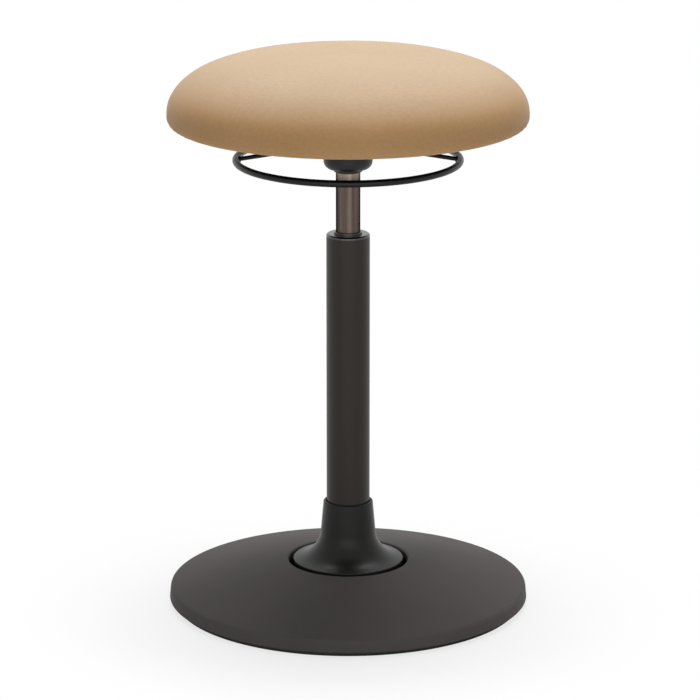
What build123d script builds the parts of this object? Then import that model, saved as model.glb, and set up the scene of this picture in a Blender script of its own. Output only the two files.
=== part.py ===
from build123d import *
import os
from math import atan2, cos, radians, sin, sqrt, tan

# A sit-stand stool: padded seat on a gas column that leans on a rubber mount in a weighted round base.
# Millimetres, +Z up, origin on the floor under the middle of the base, front towards -Y.

# Rubber floor ring under the weight, set in from the hem of the cover
base_radius = 208.8
foot_inset = 6.1
foot_thickness = 3.0
foot_width = 12.0
foot_bevel = 1.2

# Steel weight plate
weight_thickness = 5.0
weight_inset = 5.2
weight_bevel = 1.0

# Pressed base cover with a drafted skirt, a low dome and a turned-down opening
cover_wall = 2.0
hem_height = 6.6
skirt_height = 13.9
skirt_draft = 1.4
skirt_round = 4.0
dome_height = 30.2
dome_crown = 1.6
dome_round_share = 0.42
opening_radius = 69.4
opening_round = 2.4
opening_lip = 9.0

# Bosses under the cover and their countersunk screws
boss_inset = 26.5
boss_count = 6
boss_radius = 6.0
cover_screw_radius = 2.0
cover_screw_head = 4.2
cover_screw_reach = 5.0

# Rubber mount between two steel plates
mount_radius = 46.0
mount_thickness = 4.0
mount_screw_inset = 12.0
mount_screw_count = 4
mount_screw_radius = 3.0
mount_screw_head = 5.8
buffer_height = 18.0
buffer_radius = 42.0
buffer_waist = 38.0
mount_bore = 17.0

# Tapered socket on the upper plate of the mount
socket_plate_radius = 44.0
socket_plate_thickness = 5.0
socket_wall = 2.6
socket_depth = 50.0
socket_weld = 4.0
taper_angle = 1.43

# Column tube with its tapered foot
tube_radius = 25.0
tube_wall = 2.0
tube_length = 400.5
tube_foot_gap = 1.5
foot_hole_radius = 15.0

# Collar that flares into the opening of the base
collar_height = 74.5
collar_top_radius = 28.6
collar_wall = 3.0
collar_draft = 5.0
collar_flare_round = 36.0
collar_skirt_slope = 16.0
collar_skirt_drop = 4.2
collar_edge_round = 1.0
collar_top_round = 2.0
collar_lead = 1.0
collar_proud = 0.2
tilt_gap = 5.4

# Guide bush in the top of the tube, with a raised wiper round the cylinder
bush_length = 110.0
bush_lip_height = 3.0
bush_lip_overhang = 0.2
bush_lip_round = 2.6
wiper_height = 2.8
wiper_wall = 2.2
wiper_round = 1.2
wiper_lead = 0.6

# Thrust bearing and end stop in the foot of the tube
end_plate_thickness = 4.0
race_thickness = 2.0
race_radius = 16.0
race_bore_gap = 2.0
ball_radius = 2.5
ball_inset = 5.0
ball_count = 10
cage_thickness = 2.4
cage_width = 6.6
bumper_height = 15.0
bumper_radius = 11.0
bumper_bulge = 1.4

# Piston rod and piston
rod_radius = 5.0
rod_tail = 3.5
rod_tip_radius = 3.5
rod_tip_proud = 2.0
clip_thickness = 1.2
clip_depth = 1.0
clip_radius = 8.0
piston_height = 16.0
seal_wire = 1.2
stroke_reserve = 70.5

# Pressure tube of the gas spring
cylinder_radius = 14.0
cylinder_wall = 2.0
cylinder_exposed = 72.0
cone_length = 33.7
cylinder_foot_bore = 8.0
rod_guide_height = 16.0
rod_seal_height = 6.0
valve_neck_wall = 2.0
valve_height = 24.0
valve_flange = 6.0
valve_recess = 2.0

# Valve pin
pin_radius = 3.0
pin_head_radius = 4.0
pin_dome_radius = 6.0
pin_depth = 14.0
pin_travel_room = 4.0

# Cast hub under the seat
hub_height = 49.7
hub_neck_wall = 2.4
hub_neck_height = 2.8
hub_neck_round = 1.4
bowl_radius = 28.0
bowl_slope_rise = 2.0
bowl_round = 9.5
bowl_wall = 3.0
cone_proud = 3.0
flange_radius = 62.0
flange_thickness = 5.0
arm_slot_width = 12.0
arm_slot_reach = 54.0
rib_count = 8
rib_thickness = 3.0
rib_reach = 56.0
rib_depth = 22.0
hub_screw_inset = 16.0
hub_screw_count = 4
hub_screw_radius = 3.0
hub_screw_head_radius = 5.5
hub_screw_head_height = 4.0

# Shared by all screws: hexagon socket as a share of shank radius or head height, and head angle
socket_share = 0.7
countersink_angle = 90.0
screw_start_angle = 45.0

# Seat plate, pan, pad and covers
seat_plate_radius = 66.0
seat_plate_thickness = 3.0
pan_thickness = 9.0
pan_inset = 9.0
pan_edge_width = 34.0
pan_slope = 9.0
seat_radius = 205.8
seat_depth = 85.5
seat_widest_rise = 15.8
seat_side_pull = 50.5
seat_crown_pull = 128.0
seat_under_pull = 2.8
seat_edge_pull = 13.0
skin = 1.8
turn_under_width = 12.0
dust_cover_thickness = 1.5
tee_nut_wall = 1.3
tee_nut_flange_radius = 9.0
tee_nut_flange_thickness = 1.5

# Release ring: hoop, two arms and the plate that presses the pin
hoop_radius = 127.7
hoop_wire = 8.0
hoop_rise = 13.9
arm_wire = 5.0
arm_start = 10.0
arm_shoulder = 41.0
arm_knee = 69.5
arm_end_slope = 9.0
arm_bend_radius = 36.0
arm_weld_flat = 0.6
press_plate_radius = 24.0
press_plate_thickness = 3.0
press_plate_round = 0.8

# Clearances
close_fit = 0.05
slip_fit = 0.1
loose_fit = 0.3
screw_fit = 0.3
land_gap = 0.3
lift_gap = 0.5

# Stroke that the tube leaves beside the bush, bearing and end stop
stroke = tube_length - bush_length - stroke_reserve

# Heights, from the floor up
weight_top = foot_thickness + weight_thickness
skirt_top = hem_height + skirt_height
dome_top = skirt_top + dome_height
mount_top = weight_top + mount_thickness
buffer_top = mount_top + buffer_height
socket_plate_top = buffer_top + socket_plate_thickness
tube_bottom = socket_plate_top + tube_foot_gap
socket_top = tube_bottom + socket_depth
tube_top = tube_bottom + tube_length
bush_top = tube_top + bush_lip_height
wiper_top = bush_top + wiper_height
end_plate_bottom = tube_bottom + tube_wall
lower_race_bottom = end_plate_bottom + end_plate_thickness
ball_bottom = lower_race_bottom + race_thickness + close_fit
upper_race_bottom = ball_bottom + 2 * ball_radius + close_fit
bumper_bottom = upper_race_bottom + race_thickness
cylinder_bottom = bumper_bottom + bumper_height + land_gap
rod_guide_bottom = cylinder_bottom + cylinder_wall
rod_seal_bottom = rod_guide_bottom + rod_guide_height
piston_bottom = rod_seal_bottom + rod_seal_height + stroke + lift_gap
piston_top = piston_bottom + piston_height
hub_bottom = bush_top + cylinder_exposed
cylinder_top = hub_bottom + cone_length
chamber_floor = cylinder_top - cone_proud
valve_top = cylinder_top - valve_recess
valve_seat = valve_top - valve_height
flange_top = hub_bottom + hub_height
flange_bottom = flange_top - flange_thickness
press_top = flange_top - lift_gap
press_bottom = press_top - press_plate_thickness
pin_top = press_bottom - slip_fit
hoop_height = hub_bottom + hoop_rise
pan_bottom = flange_top + seat_plate_thickness
pan_top = pan_bottom + pan_thickness
seat_top = pan_bottom + seat_depth

# Radii that follow from the sizes above
foot_radius = base_radius - foot_inset
skirt_radius = base_radius - skirt_draft
weight_radius = base_radius - weight_inset
boss_circle = base_radius - boss_inset
mount_screw_circle = mount_radius - mount_screw_inset
ball_circle = race_radius - ball_inset
hub_screw_circle = flange_radius - hub_screw_inset
taper_slope = tan(radians(taper_angle))
tube_foot_radius = tube_radius - socket_depth * taper_slope
bore_radius = cylinder_radius - cylinder_wall
cone_top_radius = cylinder_radius - cone_length * taper_slope
neck_bore = cone_top_radius - valve_neck_wall
collar_skirt_radius = opening_radius - tilt_gap
pan_rise = radians(pan_slope)
pan_radius = seat_radius - pan_inset
pan_flat_radius = pan_radius - pan_edge_width
turn_under_radius = pan_flat_radius - turn_under_width
pan_edge_height = pan_bottom + (pan_radius - pan_flat_radius) * tan(pan_rise)


def mount_screw_places():
    """Places of the mount screws around the axis."""
    return PolarLocations(mount_screw_circle, mount_screw_count, start_angle=screw_start_angle)


def hub_screw_places():
    """Places of the hub screws and tee nuts around the axis."""
    return PolarLocations(hub_screw_circle, hub_screw_count, start_angle=screw_start_angle)


def radial_plane(angle):
    """Upright plane through the axis, its x pointing out at the given angle in degrees."""
    turn = radians(angle)
    return Plane(origin=(0, 0, 0), x_dir=(cos(turn), sin(turn), 0), z_dir=(sin(turn), -cos(turn), 0))


def taper_radius(start_radius, start_height, height):
    """Radius at a height on a taper that narrows upwards from its start."""
    return start_radius - (height - start_height) * taper_slope


def pan_point(radius, height, outwards):
    """Point of the pan's sloping edge, moved out square to the slope."""
    return (radius + outwards * sin(pan_rise), height - outwards * cos(pan_rise))


def pad_outline(inset):
    """Half outline of the pad from the edge of the pan to the crown, drawn in by inset."""
    side = seat_radius - inset
    widest = pan_bottom + seat_widest_rise
    top = seat_top - inset
    edge = pan_point(pan_radius, pan_edge_height, skin - inset)
    under = (edge[0] + seat_under_pull * cos(pan_rise), edge[1] + seat_under_pull * sin(pan_rise))
    Bezier(edge, under, (side, widest - seat_edge_pull), (side, widest))
    Bezier((side, widest), (side, widest + seat_side_pull - inset), (seat_crown_pull - inset, top), (0, top))
    return edge, (0, top)


def turned_edge(inset):
    """Outline of the cover's edge where it is turned under the pan, drawn in by inset."""
    drop = skin - inset
    start = (turn_under_radius, pan_bottom - drop)
    bend = (pan_flat_radius + drop * tan(pan_rise / 2), pan_bottom - drop)
    Polyline(start, bend, pan_point(pan_radius, pan_edge_height, drop))
    return start


# Floor ring: a flat rubber ring, bevelled where it meets the floor
with BuildPart() as floor_ring:
    with BuildSketch():
        Circle(foot_radius)
        Circle(foot_radius - foot_width, mode=Mode.SUBTRACT)
    extrude(amount=foot_thickness)
    chamfer(floor_ring.edges().filter_by(GeomType.CIRCLE).group_by(Axis.Z)[0], foot_bevel)

# Base weight: a round plate, drilled and countersunk from below
with BuildPart() as base_weight:
    with BuildSketch(Plane.XY.offset(foot_thickness)):
        Circle(weight_radius)
    extrude(amount=weight_thickness)
    chamfer(base_weight.edges().filter_by(GeomType.CIRCLE), weight_bevel)
    with Locations(Plane.XY.offset(foot_thickness).rotated((180, 0, 0))):
        with PolarLocations(boss_circle, boss_count):
            CounterSinkHole(
                cover_screw_radius + screw_fit,
                cover_screw_head + screw_fit,
                counter_sink_angle=countersink_angle,
            )
        with mount_screw_places():
            CounterSinkHole(
                mount_screw_radius + screw_fit,
                mount_screw_head + screw_fit,
                counter_sink_angle=countersink_angle,
            )

# Base cover: one pressed sheet from the hem up over the dome and down into the opening
dome_half = (skirt_radius - opening_radius) / 2
dome_rise = dome_height / 2 + dome_crown
dome_bend = atan2(dome_rise, dome_half) - atan2(dome_height - dome_rise, dome_half)
dome_round = dome_round_share * dome_half / tan(dome_bend / 2)
cover_points = (
    (base_radius, hem_height),
    (skirt_radius, skirt_top),
    (opening_radius + dome_half, skirt_top + dome_rise),
    (opening_radius, dome_top),
    (opening_radius, dome_top - opening_lip),
)
cover_rounds = (skirt_round, dome_round, opening_round)
with BuildPart() as base_cover:
    with BuildSketch(Plane.XZ):
        with BuildLine():
            FilletPolyline(*cover_points, radius=cover_rounds)
            offset(amount=cover_wall, side=Side.LEFT)
        make_face()
    revolve(axis=Axis.Z)

# Room under the cover, which gives the bosses their sloping tops
with BuildPart() as cover_room:
    with BuildSketch(Plane.XZ):
        with BuildLine():
            sheet = FilletPolyline(*cover_points, radius=cover_rounds)
            Polyline(sheet @ 1, (0, dome_top - opening_lip), (0, 0), (base_radius, 0), sheet @ 0)
        make_face()
    revolve(axis=Axis.Z)
    add(base_cover.part, mode=Mode.SUBTRACT)

# Cover bosses: drilled posts welded under the cover, standing on the weight
with BuildPart() as cover_bosses:
    with BuildSketch(Plane.XY.offset(weight_top)):
        with PolarLocations(boss_circle, boss_count):
            Circle(boss_radius)
    extrude(amount=dome_top)
    add(cover_room.part, mode=Mode.INTERSECT)
    with BuildSketch(Plane.XY.offset(weight_top)):
        with PolarLocations(boss_circle, boss_count):
            Circle(cover_screw_radius + close_fit)
    extrude(amount=cover_screw_reach + screw_fit, mode=Mode.SUBTRACT)


def countersunk_screws(places, radius, head, length):
    """Countersunk screws with hexagon sockets, driven up from the underside of the weight."""
    head_height = (head - radius) / tan(radians(countersink_angle / 2))
    with BuildPart(Plane.XY.offset(foot_thickness)) as screws:
        with places:
            Cylinder(radius, length, align=(Align.CENTER, Align.CENTER, Align.MIN))
            Cone(head, radius, head_height, align=(Align.CENTER, Align.CENTER, Align.MIN))
        with BuildSketch(Plane.XY.offset(foot_thickness)):
            with places:
                RegularPolygon(radius * socket_share, 6)
        extrude(amount=head_height, mode=Mode.SUBTRACT)
    return screws


cover_screws = countersunk_screws(
    PolarLocations(boss_circle, boss_count),
    cover_screw_radius,
    cover_screw_head,
    weight_thickness + cover_screw_reach,
)
mount_screws = countersunk_screws(
    mount_screw_places(),
    mount_screw_radius,
    mount_screw_head,
    weight_thickness + mount_thickness,
)

# Mount plate: lower steel plate of the rubber mount
with BuildPart() as mount_plate:
    with BuildSketch(Plane.XY.offset(weight_top)):
        Circle(mount_radius)
        with mount_screw_places():
            Circle(mount_screw_radius + close_fit, mode=Mode.SUBTRACT)
    extrude(amount=mount_thickness)

# Flex buffer: waisted rubber ring bonded between the plates
with BuildPart() as flex_buffer:
    with BuildSketch(Plane.XZ):
        with BuildLine():
            ThreePointArc(
                (buffer_radius, mount_top),
                (buffer_waist, mount_top + buffer_height / 2),
                (buffer_radius, buffer_top),
            )
            Polyline(
                (buffer_radius, buffer_top),
                (mount_bore, buffer_top),
                (mount_bore, mount_top),
                (buffer_radius, mount_top),
            )
        make_face()
    revolve(axis=Axis.Z)

# Taper socket: upper plate of the mount with the socket welded on
with BuildPart() as taper_socket:
    with BuildSketch(Plane.XZ):
        with BuildLine():
            socket_radius = tube_radius + close_fit + socket_wall
            socket_mouth = tube_radius + close_fit
            Polyline(
                (mount_bore, buffer_top),
                (socket_plate_radius, buffer_top),
                (socket_plate_radius, socket_plate_top),
                (socket_radius, socket_plate_top),
                (socket_radius, socket_top),
                (socket_mouth, socket_top),
                (socket_mouth - (socket_top - socket_plate_top) * taper_slope, socket_plate_top),
                (mount_bore, socket_plate_top),
                close=True,
            )
        make_face()
    revolve(axis=Axis.Z)
    plate_circles = taper_socket.edges().filter_by(GeomType.CIRCLE)
    plate_circles = plate_circles.filter_by_position(Axis.Z, socket_plate_top, socket_plate_top)
    fillet(plate_circles.sort_by(SortBy.RADIUS)[-2], socket_weld)

# Column tube: straight tube with a tapered foot, rolled in at the bottom
with BuildPart() as column_tube:
    with BuildSketch(Plane.XZ):
        with BuildLine():
            foot_inside = tube_foot_radius - tube_wall + tube_wall * taper_slope
            Polyline(
                (foot_hole_radius, tube_bottom),
                (tube_foot_radius, tube_bottom),
                (tube_radius, socket_top),
                (tube_radius, tube_top),
                (tube_radius - tube_wall, tube_top),
                (tube_radius - tube_wall, socket_top),
                (foot_inside, end_plate_bottom),
                (foot_hole_radius, end_plate_bottom),
                close=True,
            )
        make_face()
    revolve(axis=Axis.Z)

# Collar: drafted sleeve that flares into a skirt, with a bore that sits on the socket
skirt_edge = dome_top + collar_proud
collar_top = skirt_edge - collar_skirt_drop + collar_height
draft_slope = tan(radians(collar_draft))
skirt_slope = tan(radians(collar_skirt_slope))
flare_reach = collar_skirt_radius - collar_top_radius
flare_drop = (collar_top - skirt_edge - flare_reach * skirt_slope) / (1 - draft_slope * skirt_slope)
flare_corner = (collar_top_radius + flare_drop * draft_slope, collar_top - flare_drop)
with BuildPart() as collar:
    with BuildSketch(Plane.XZ):
        with BuildLine():
            FilletPolyline(
                (collar_top_radius - collar_wall * draft_slope, collar_top + collar_wall),
                flare_corner,
                (collar_skirt_radius, skirt_edge),
                (collar_skirt_radius, skirt_edge - collar_skirt_drop),
                radius=(collar_flare_round, collar_edge_round),
            )
            offset(amount=collar_wall, side=Side.RIGHT)
        make_face()
    revolve(axis=Axis.Z)
    with BuildSketch(Plane.XY.offset(socket_top + loose_fit)):
        Circle(collar_top_radius - collar_wall / 2)
    extrude(amount=collar_top - socket_top - loose_fit)
    with BuildSketch(Plane.XY.offset(collar_top)):
        Circle(collar_top_radius)
    extrude(amount=collar_wall, mode=Mode.SUBTRACT)
    with BuildSketch(Plane.XY.offset(collar_top)):
        Circle(tube_radius + loose_fit)
    extrude(amount=socket_top + loose_fit - collar_top, mode=Mode.SUBTRACT)
    top_circles = collar.edges().filter_by(GeomType.CIRCLE).group_by(Axis.Z)[-1]
    fillet(top_circles.sort_by(SortBy.RADIUS)[-1], collar_top_round)
    top_circles = collar.edges().filter_by(GeomType.CIRCLE).group_by(Axis.Z)[-1]
    chamfer(top_circles.sort_by(SortBy.RADIUS)[0], collar_lead)

# Guide bush: sleeve in the top of the tube with a rounded lip over its end and a raised wiper
with BuildPart() as guide_bush:
    with BuildSketch(Plane.XZ):
        with BuildLine():
            bush_radius = tube_radius - tube_wall - close_fit
            bush_bore = cylinder_radius + close_fit
            lip_radius = tube_radius + bush_lip_overhang
            Polyline(
                (bush_bore, tube_top - bush_length),
                (bush_radius, tube_top - bush_length),
                (bush_radius, tube_top),
                (lip_radius, tube_top),
                (lip_radius, bush_top),
                (bush_bore + wiper_wall, bush_top),
                (bush_bore + wiper_wall, wiper_top),
                (bush_bore, wiper_top),
                close=True,
            )
        make_face()
    revolve(axis=Axis.Z)
    lip_circles = guide_bush.edges().filter_by(GeomType.CIRCLE).group_by(Axis.Z)[-2]
    fillet(lip_circles.sort_by(SortBy.RADIUS)[-1], bush_lip_round)
    wiper_circles = guide_bush.edges().filter_by(GeomType.CIRCLE).group_by(Axis.Z)[-1]
    fillet(wiper_circles.sort_by(SortBy.RADIUS)[-1], wiper_round)
    wiper_circles = guide_bush.edges().filter_by(GeomType.CIRCLE).group_by(Axis.Z)[-1]
    chamfer(wiper_circles.sort_by(SortBy.RADIUS)[0], wiper_lead)

# Tube end plate: disc on the rolled-in foot of the tube
with BuildPart() as tube_end_plate:
    with BuildSketch(Plane.XY.offset(end_plate_bottom)):
        Circle(foot_inside - slip_fit)
        Circle(rod_radius + loose_fit, mode=Mode.SUBTRACT)
    extrude(amount=end_plate_thickness)


def bearing_race(bottom):
    """Flat hardened washer of the thrust bearing."""
    with BuildPart() as race:
        with BuildSketch(Plane.XY.offset(bottom)):
            Circle(race_radius)
            Circle(rod_radius + race_bore_gap, mode=Mode.SUBTRACT)
        extrude(amount=race_thickness)
        chamfer(race.edges().filter_by(GeomType.CIRCLE), race_thickness / 8)
    return race


lower_race = bearing_race(lower_race_bottom)
upper_race = bearing_race(upper_race_bottom)

# Ball cage: flat ring with a pocket for each ball
with BuildPart() as ball_cage:
    with BuildSketch(Plane.XY.offset(ball_bottom + ball_radius)):
        Circle(ball_circle + cage_width / 2)
        Circle(ball_circle - cage_width / 2, mode=Mode.SUBTRACT)
        with PolarLocations(ball_circle, ball_count):
            Circle(ball_radius + slip_fit, mode=Mode.SUBTRACT)
    extrude(amount=cage_thickness / 2, both=True)

# Bearing balls
with BuildPart(Plane.XY.offset(ball_bottom + ball_radius)) as bearing_balls:
    with PolarLocations(ball_circle, ball_count):
        Sphere(ball_radius)

# End bumper: barrel-shaped rubber ring on the rod
with BuildPart() as end_bumper:
    with BuildSketch(Plane.XZ):
        with BuildLine():
            bumper_top = bumper_bottom + bumper_height
            ThreePointArc(
                (bumper_radius, bumper_bottom),
                (bumper_radius + bumper_bulge, (bumper_bottom + bumper_top) / 2),
                (bumper_radius, bumper_top),
            )
            Polyline(
                (bumper_radius, bumper_top),
                (rod_radius + slip_fit, bumper_top),
                (rod_radius + slip_fit, bumper_bottom),
                (bumper_radius, bumper_bottom),
            )
        make_face()
    revolve(axis=Axis.Z)

# Piston rod: clip groove at the bottom, reduced tip for the piston at the top
clip_top = end_plate_bottom - loose_fit
clip_bottom = clip_top - clip_thickness
with BuildPart() as piston_rod:
    with BuildSketch(Plane.XZ):
        with BuildLine():
            groove_radius = rod_radius - clip_depth
            Polyline(
                (0, end_plate_bottom - rod_tail),
                (rod_radius, end_plate_bottom - rod_tail),
                (rod_radius, clip_bottom - slip_fit),
                (groove_radius, clip_bottom - slip_fit),
                (groove_radius, clip_top + slip_fit),
                (rod_radius, clip_top + slip_fit),
                (rod_radius, piston_bottom),
                (rod_tip_radius, piston_bottom),
                (rod_tip_radius, piston_top + rod_tip_proud),
                (0, piston_top + rod_tip_proud),
                close=True,
            )
        make_face()
    revolve(axis=Axis.Z)

# Rod clip: open spring clip in the groove
with BuildPart() as rod_clip:
    with BuildSketch(Plane.XY.offset(clip_bottom)):
        Circle(clip_radius)
        Circle(rod_radius - clip_depth + close_fit, mode=Mode.SUBTRACT)
        with Locations((0, -clip_radius)):
            Rectangle(2 * (rod_radius - clip_depth), 2 * clip_radius, mode=Mode.SUBTRACT)
    extrude(amount=clip_thickness)

# Piston: drum with a seal groove around its middle
seal_circle = bore_radius - close_fit - seal_wire
with BuildPart() as piston:
    with BuildSketch(Plane.XZ):
        with BuildLine():
            piston_radius = bore_radius - loose_fit
            groove_floor = seal_circle - seal_wire - close_fit
            groove_half = seal_wire + slip_fit
            piston_middle = (piston_bottom + piston_top) / 2
            Polyline(
                (rod_tip_radius + close_fit, piston_bottom),
                (piston_radius, piston_bottom),
                (piston_radius, piston_middle - groove_half),
                (groove_floor, piston_middle - groove_half),
                (groove_floor, piston_middle + groove_half),
                (piston_radius, piston_middle + groove_half),
                (piston_radius, piston_top),
                (rod_tip_radius + close_fit, piston_top),
                close=True,
            )
        make_face()
    revolve(axis=Axis.Z)

# Piston seal: rubber ring in the groove
with BuildPart(Plane.XY.offset(piston_middle)) as piston_seal:
    Torus(seal_circle, seal_wire)

# Pressure tube: rolled in at the foot, tapered and necked at the top
with BuildPart() as pressure_tube:
    with BuildSketch(Plane.XZ):
        with BuildLine():
            Polyline(
                (cylinder_foot_bore, cylinder_bottom),
                (cylinder_radius, cylinder_bottom),
                (cylinder_radius, hub_bottom),
                (cone_top_radius, cylinder_top),
                (neck_bore, cylinder_top),
                (neck_bore, valve_seat),
                (bore_radius, valve_seat),
                (bore_radius, rod_guide_bottom),
                (cylinder_foot_bore, rod_guide_bottom),
                close=True,
            )
        make_face()
    revolve(axis=Axis.Z)


def rod_ring(bottom, height):
    """Ring that fills the bore of the cylinder around the rod."""
    with BuildPart() as ring:
        with BuildSketch(Plane.XY.offset(bottom)):
            Circle(bore_radius - close_fit)
            Circle(rod_radius + close_fit, mode=Mode.SUBTRACT)
        extrude(amount=height)
    return ring


rod_guide = rod_ring(rod_guide_bottom, rod_guide_height)
rod_seal = rod_ring(rod_seal_bottom, rod_seal_height)

# Valve body: held up against the neck of the cylinder, drilled for the pin
pin_bottom = valve_top - pin_depth
with BuildPart() as valve_body:
    with BuildSketch(Plane.XZ):
        with BuildLine():
            Polyline(
                (0, valve_seat - valve_flange),
                (bore_radius - close_fit, valve_seat - valve_flange),
                (bore_radius - close_fit, valve_seat),
                (neck_bore - close_fit, valve_seat),
                (neck_bore - close_fit, valve_top),
                (pin_radius + close_fit, valve_top),
                (pin_radius + close_fit, pin_bottom - pin_travel_room),
                (0, pin_bottom - pin_travel_room),
                close=True,
            )
        make_face()
    revolve(axis=Axis.Z)

# Release pin: stem in the valve and a domed head under the press plate
with BuildPart() as release_pin:
    with BuildSketch(Plane.XZ):
        with BuildLine():
            head_bottom = valve_top + pin_travel_room
            dome_edge = pin_top - pin_dome_radius + sqrt(pin_dome_radius**2 - pin_head_radius**2)
            dome = RadiusArc((pin_head_radius, dome_edge), (0, pin_top), -pin_dome_radius)
            Polyline(
                dome @ 1,
                (0, pin_bottom),
                (pin_radius, pin_bottom),
                (pin_radius, head_bottom),
                (pin_head_radius, head_bottom),
                dome @ 0,
            )
        make_face()
    revolve(axis=Axis.Z)

# Seat hub: cast bowl with tapered bore, press chamber, ribs, arm slots and screw flange
hub_neck_radius = cylinder_radius + hub_neck_wall
with BuildPart() as seat_hub:
    with BuildSketch(Plane.XZ):
        with BuildLine():
            bowl_bottom = hub_bottom + hub_neck_height
            hub_bore = cylinder_radius + close_fit
            FilletPolyline(
                (hub_bore, hub_bottom),
                (hub_neck_radius, hub_bottom),
                (hub_neck_radius, bowl_bottom),
                (bowl_radius, bowl_bottom + bowl_slope_rise),
                (bowl_radius, flange_bottom),
                (flange_radius, flange_bottom),
                (flange_radius, flange_top),
                (bowl_radius - bowl_wall, flange_top),
                radius=(hub_neck_round, 0, bowl_round, bowl_wall, 0, 0),
            )
            Polyline(
                (bowl_radius - bowl_wall, flange_top),
                (bowl_radius - bowl_wall, chamber_floor),
                (taper_radius(hub_bore, hub_bottom, chamber_floor), chamber_floor),
                (hub_bore, hub_bottom),
            )
        make_face()
    revolve(axis=Axis.Z)
    rib_step = 360 / rib_count
    with BuildSketch(*(radial_plane((index + 0.5) * rib_step) for index in range(rib_count))):
        with BuildLine():
            Polyline(
                (bowl_radius - bowl_wall / 2, flange_bottom + flange_thickness / 2),
                (rib_reach, flange_bottom + flange_thickness / 2),
                (rib_reach, flange_bottom),
                (bowl_radius, flange_bottom - rib_depth),
                (bowl_radius - bowl_wall / 2, flange_bottom - rib_depth),
                close=True,
            )
        make_face()
    extrude(amount=rib_thickness / 2, both=True)
    with BuildSketch(Plane.XY.offset(chamber_floor)):
        Rectangle(2 * arm_slot_reach, arm_slot_width)
    extrude(amount=flange_top - chamber_floor, mode=Mode.SUBTRACT)
    with Locations(Plane.XY.offset(flange_top)):
        with hub_screw_places():
            Hole(hub_screw_radius + screw_fit, flange_thickness)

# Seat plate: steel disc over the press chamber
with BuildPart() as seat_plate:
    with BuildSketch(Plane.XY.offset(flange_top)):
        Circle(seat_plate_radius)
        with hub_screw_places():
            Circle(hub_screw_radius + screw_fit, mode=Mode.SUBTRACT)
    extrude(amount=seat_plate_thickness)
    plate_rims = seat_plate.edges().filter_by(GeomType.CIRCLE).group_by(SortBy.RADIUS)[-1]
    chamfer(plate_rims, seat_plate_thickness / 4)

# Hub screws: pan heads under the flange, shanks up into the tee nuts
with BuildPart(Plane.XY.offset(flange_bottom)) as hub_screws:
    with hub_screw_places():
        Cylinder(
            hub_screw_head_radius,
            hub_screw_head_height,
            align=(Align.CENTER, Align.CENTER, Align.MAX),
        )
    fillet(
        hub_screws.edges().filter_by(GeomType.CIRCLE).group_by(Axis.Z)[0],
        hub_screw_head_height / 3,
    )
    with BuildSketch(Plane.XY.offset(flange_bottom - hub_screw_head_height)):
        with hub_screw_places():
            RegularPolygon(hub_screw_radius * socket_share, 6)
    extrude(amount=hub_screw_head_height * socket_share, mode=Mode.SUBTRACT)
    with hub_screw_places():
        Cylinder(
            hub_screw_radius,
            pan_top - flange_bottom,
            align=(Align.CENTER, Align.CENTER, Align.MIN),
        )

# Tee nuts: barrels in the pan with flanges on top of it
tee_nut_radius = hub_screw_radius + close_fit + tee_nut_wall
with BuildPart() as tee_nuts:
    with BuildSketch(Plane.XY.offset(pan_top)):
        with hub_screw_places():
            Circle(tee_nut_flange_radius)
    extrude(amount=tee_nut_flange_thickness)
    with BuildSketch(Plane.XY.offset(pan_top)):
        with hub_screw_places():
            Circle(tee_nut_radius)
    extrude(amount=-pan_thickness)
    with BuildSketch(Plane.XY.offset(pan_bottom)):
        with hub_screw_places():
            Circle(hub_screw_radius + close_fit)
    extrude(amount=pan_thickness + tee_nut_flange_thickness, mode=Mode.SUBTRACT)

# Seat pan: moulded plywood disc with a raised edge, drilled for the tee nuts
pan_edge_bottom = (pan_radius, pan_edge_height)
pan_edge_top = pan_point(pan_radius, pan_edge_height, -pan_thickness)
pan_inner_bend = (pan_flat_radius - pan_thickness * tan(pan_rise / 2), pan_top)
with BuildPart() as seat_pan:
    with BuildSketch(Plane.XZ):
        with BuildLine():
            Polyline(
                (0, pan_bottom),
                (pan_flat_radius, pan_bottom),
                pan_edge_bottom,
                pan_edge_top,
                pan_inner_bend,
                (0, pan_top),
                close=True,
            )
        make_face()
    revolve(axis=Axis.Z)
    with BuildSketch(Plane.XY.offset(pan_bottom)):
        with hub_screw_places():
            Circle(tee_nut_radius + close_fit)
    extrude(amount=pan_thickness, mode=Mode.SUBTRACT)

# Seat foam: domed pad on the pan, with pockets over the tee nuts
with BuildPart() as seat_foam:
    with BuildSketch(Plane.XZ):
        with BuildLine():
            foam_edge, foam_crown = pad_outline(skin)
            Polyline(foam_crown, (0, pan_top), pan_inner_bend, pan_edge_top, foam_edge)
        make_face()
    revolve(axis=Axis.Z)
    with BuildSketch(Plane.XY.offset(pan_top)):
        with hub_screw_places():
            Circle(tee_nut_flange_radius + loose_fit)
    extrude(amount=tee_nut_flange_thickness + loose_fit, mode=Mode.SUBTRACT)

# Seat cover: fabric over the foam, turned under the edge of the pan
with BuildPart() as seat_cover:
    with BuildSketch(Plane.XZ):
        with BuildLine():
            outer_start = turned_edge(0)
            outer_crown = pad_outline(0)[1]
            inner_start = turned_edge(skin)
            inner_crown = pad_outline(skin)[1]
            Line(outer_start, inner_start)
            Line(outer_crown, inner_crown)
        make_face()
    revolve(axis=Axis.Z)

# Dust cover: felt ring that closes the underside of the pan
with BuildPart() as dust_cover:
    with BuildSketch(Plane.XY.offset(pan_bottom)):
        Circle(turn_under_radius - loose_fit)
        Circle(seat_plate_radius + loose_fit, mode=Mode.SUBTRACT)
    extrude(amount=-dust_cover_thickness)

# Release hoop: round wire ring
with BuildPart(Plane.XY.offset(hoop_height)) as release_hoop:
    Torus(hoop_radius, hoop_wire / 2)

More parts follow.
